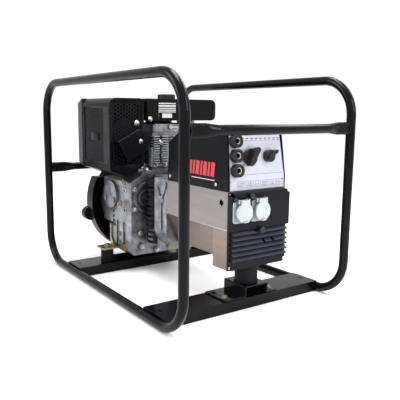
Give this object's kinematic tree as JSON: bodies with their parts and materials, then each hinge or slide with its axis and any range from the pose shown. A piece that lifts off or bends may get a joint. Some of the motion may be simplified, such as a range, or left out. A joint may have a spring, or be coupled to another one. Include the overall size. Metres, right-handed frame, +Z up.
{
  "type": "engine driven welder",
  "caption": "Portable engine driven welder: diesel engine and welding alternator with console and outlets, on rubber mounts in a black tube carrying frame.",
  "frame": {"origin": "on the ground, under the centre of the frame's bounding box", "axes": "+X to the welding console and outlets, +Z up, -Y is the exhaust side"},
  "size_m": [0.85, 0.56, 0.616],
  "materials": {
    "frame_black": "gloss",
    "rubber_black": "satin",
    "zinc_steel": "satin",
    "bolt_steel": "satin",
    "cast_alloy": "satin",
    "brass_plug": "satin",
    "bearing_steel": "satin",
    "forged_steel": "satin",
    "flywheel_iron": "matte",
    "cylinder_iron": "matte",
    "engine_black": "satin",
    "exhaust_steel": "matte",
    "grip_plastic": "matte",
    "filter_plastic": "matte",
    "plate_aluminium": "satin",
    "lamination": "satin",
    "stainless": "satin",
    "moulded_black": "satin",
    "socket_white": "satin",
    "console_black": "satin",
    "panel_silver": "satin",
    "insulator_black": "matte",
    "contact_brass": "satin",
    "knob_black": "satin",
    "button_black": "satin"
  },
  "bodies": {
    "welder_set": {"hoop_near": "frame_black", "hoop_far": "frame_black", "crossbar_front": "frame_black", "crossbar_rear": "frame_black", "channel_front": "frame_black", "channel_rear": "frame_black", "front_mount_bracket": "frame_black", "rubber_mounts": "rubber_black", "rear_mount_angles": "zinc_steel", "mount_fasteners": "zinc_steel", "crankcase": "cast_alloy", "crankcase_cover": "cast_alloy", "crankcase_bolts": "bolt_steel", "drain_plugs": "brass_plug", "bearings": "bearing_steel", "cylinder": "cylinder_iron", "cylinder_head": "cast_alloy", "rocker_cover": "cast_alloy", "injection_pump": "bearing_steel", "injector_pipe": "bearing_steel", "fan_housing": "engine_black", "recoil_cover": "engine_black", "muffler": "exhaust_steel", "muffler_guard": "engine_black", "muffler_end_cap": "filter_plastic", "exhaust_deflector": "engine_black", "fuel_tank": "engine_black", "fuel_cock": "brass_plug", "air_cleaner": "filter_plastic", "nameplate": "plate_aluminium", "adapter_casting": "cast_alloy", "adapter_guards": "moulded_black", "stator": "lamination", "alternator_casing": "stainless", "end_shield": "cast_alloy", "end_cover": "moulded_black", "socket_bodies": "socket_white", "console_box": "console_black", "console_panel": "panel_silver", "weld_sockets": "insulator_black", "weld_contacts": "contact_brass", "casing_screws": "bolt_steel"},
    "crank_train": {"crankshaft": "forged_steel", "flywheel": "flywheel_iron", "rotor": "lamination"},
    "piston": {"piston": "cast_alloy"},
    "recoil_handle": {"recoil_handle": "grip_plastic"},
    "recoil_pulley": {"recoil_pulley": "grip_plastic"},
    "speed_lever": {"speed_lever": "bearing_steel"},
    "decompression_lever": {"decompression_lever": "bearing_steel"},
    "fuel_cock_lever": {"fuel_cock_lever": "grip_plastic"},
    "fuel_cap": {"fuel_cap": "grip_plastic"},
    "oil_filler_cap": {"oil_filler_cap": "grip_plastic"},
    "current_switch": {"current_switch": "knob_black"},
    "selector_knob": {"selector_knob": "knob_black"},
    "socket_lid_near": {"socket_lid_near": "socket_white"},
    "socket_lid_far": {"socket_lid_far": "socket_white"},
    "reset_button_1": {"reset_button_1": "button_black"},
    "reset_button_2": {"reset_button_2": "button_black"},
    "reset_button_3": {"reset_button_3": "button_black"}
  },
  "joints": [
    {"name": "crank_spin", "type": "hinge", "parent": "welder_set", "child": "crank_train", "pos_m": [-0.187, 0.032, 0.209], "axis": [1, 0, 0], "continuous": true},
    {"name": "piston_travel", "type": "slide", "parent": "welder_set", "child": "piston", "axis": [0, 0, 1], "range_m": [-0.072, 0]},
    {"name": "recoil_pull", "type": "slide", "parent": "welder_set", "child": "recoil_handle", "axis": [0, 1, 0], "range_m": [0, 0.12], "stiffness_N_per_m": 60, "springref_m": -0.05},
    {"name": "recoil_pulley_turn", "type": "hinge", "parent": "welder_set", "child": "recoil_pulley", "pos_m": [-0.373, 0.032, 0.209], "axis": [-1, 0, 0], "range_deg": [-1, 125]},
    {"name": "speed_lever_swing", "type": "hinge", "parent": "welder_set", "child": "speed_lever", "pos_m": [-0.115, 0.106, 0.294], "axis": [1, 0, 0], "range_deg": [-25, 25]},
    {"name": "decompression_swing", "type": "hinge", "parent": "welder_set", "child": "decompression_lever", "pos_m": [-0.1335, 0.044, 0.466], "axis": [1, 0, 0], "range_deg": [0, 30], "stiffness_Nm_per_rad": 0.05, "springref_deg": -28.65},
    {"name": "fuel_cock_turn", "type": "hinge", "parent": "welder_set", "child": "fuel_cock_lever", "pos_m": [-0.136, 0.139, 0.473], "axis": [1, 0, 0], "range_deg": [0, 90]},
    {"name": "fuel_cap_turn", "type": "hinge", "parent": "welder_set", "child": "fuel_cap", "pos_m": [-0.219, 0.083, 0.556], "axis": [0, 0, 1], "range_deg": [0, 90]},
    {"name": "oil_cap_turn", "type": "hinge", "parent": "welder_set", "child": "oil_filler_cap", "pos_m": [-0.187, 0.132, 0.199], "axis": [0, 1, 0], "range_deg": [0, 720]},
    {"name": "current_switch_turn", "type": "hinge", "parent": "welder_set", "child": "current_switch", "pos_m": [0.30754, 0.005, 0.40223], "axis": [0.9932, 0, 0.1164], "range_deg": [-135, 135]},
    {"name": "selector_turn", "type": "hinge", "parent": "welder_set", "child": "selector_knob", "pos_m": [0.30754, 0.068, 0.40223], "axis": [0.9932, 0, 0.1164], "range_deg": [-60, 60]},
    {"name": "lid_near_swing", "type": "hinge", "parent": "welder_set", "child": "socket_lid_near", "pos_m": [0.341, -0.0385, 0.2955], "axis": [0, -1, 0], "range_deg": [0, 115], "stiffness_Nm_per_rad": 0.03, "springref_deg": -20.05},
    {"name": "lid_far_swing", "type": "hinge", "parent": "welder_set", "child": "socket_lid_far", "pos_m": [0.341, 0.021, 0.2955], "axis": [0, -1, 0], "range_deg": [0, 115], "stiffness_Nm_per_rad": 0.03, "springref_deg": -20.05},
    {"name": "button_1_press", "type": "slide", "parent": "welder_set", "child": "reset_button_1", "axis": [-1, 0, 0], "range_m": [0, 0.003], "stiffness_N_per_m": 300, "springref_m": -0.001},
    {"name": "button_2_press", "type": "slide", "parent": "welder_set", "child": "reset_button_2", "axis": [-1, 0, 0], "range_m": [0, 0.003], "stiffness_N_per_m": 300, "springref_m": -0.001},
    {"name": "button_3_press", "type": "slide", "parent": "welder_set", "child": "reset_button_3", "axis": [-1, 0, 0], "range_m": [0, 0.003], "stiffness_N_per_m": 300, "springref_m": -0.001}
  ],
  "couplings": [
    {"joint": "recoil_pulley_turn", "follows": "recoil_pull", "rad_per_m": 15.924}
  ]
}
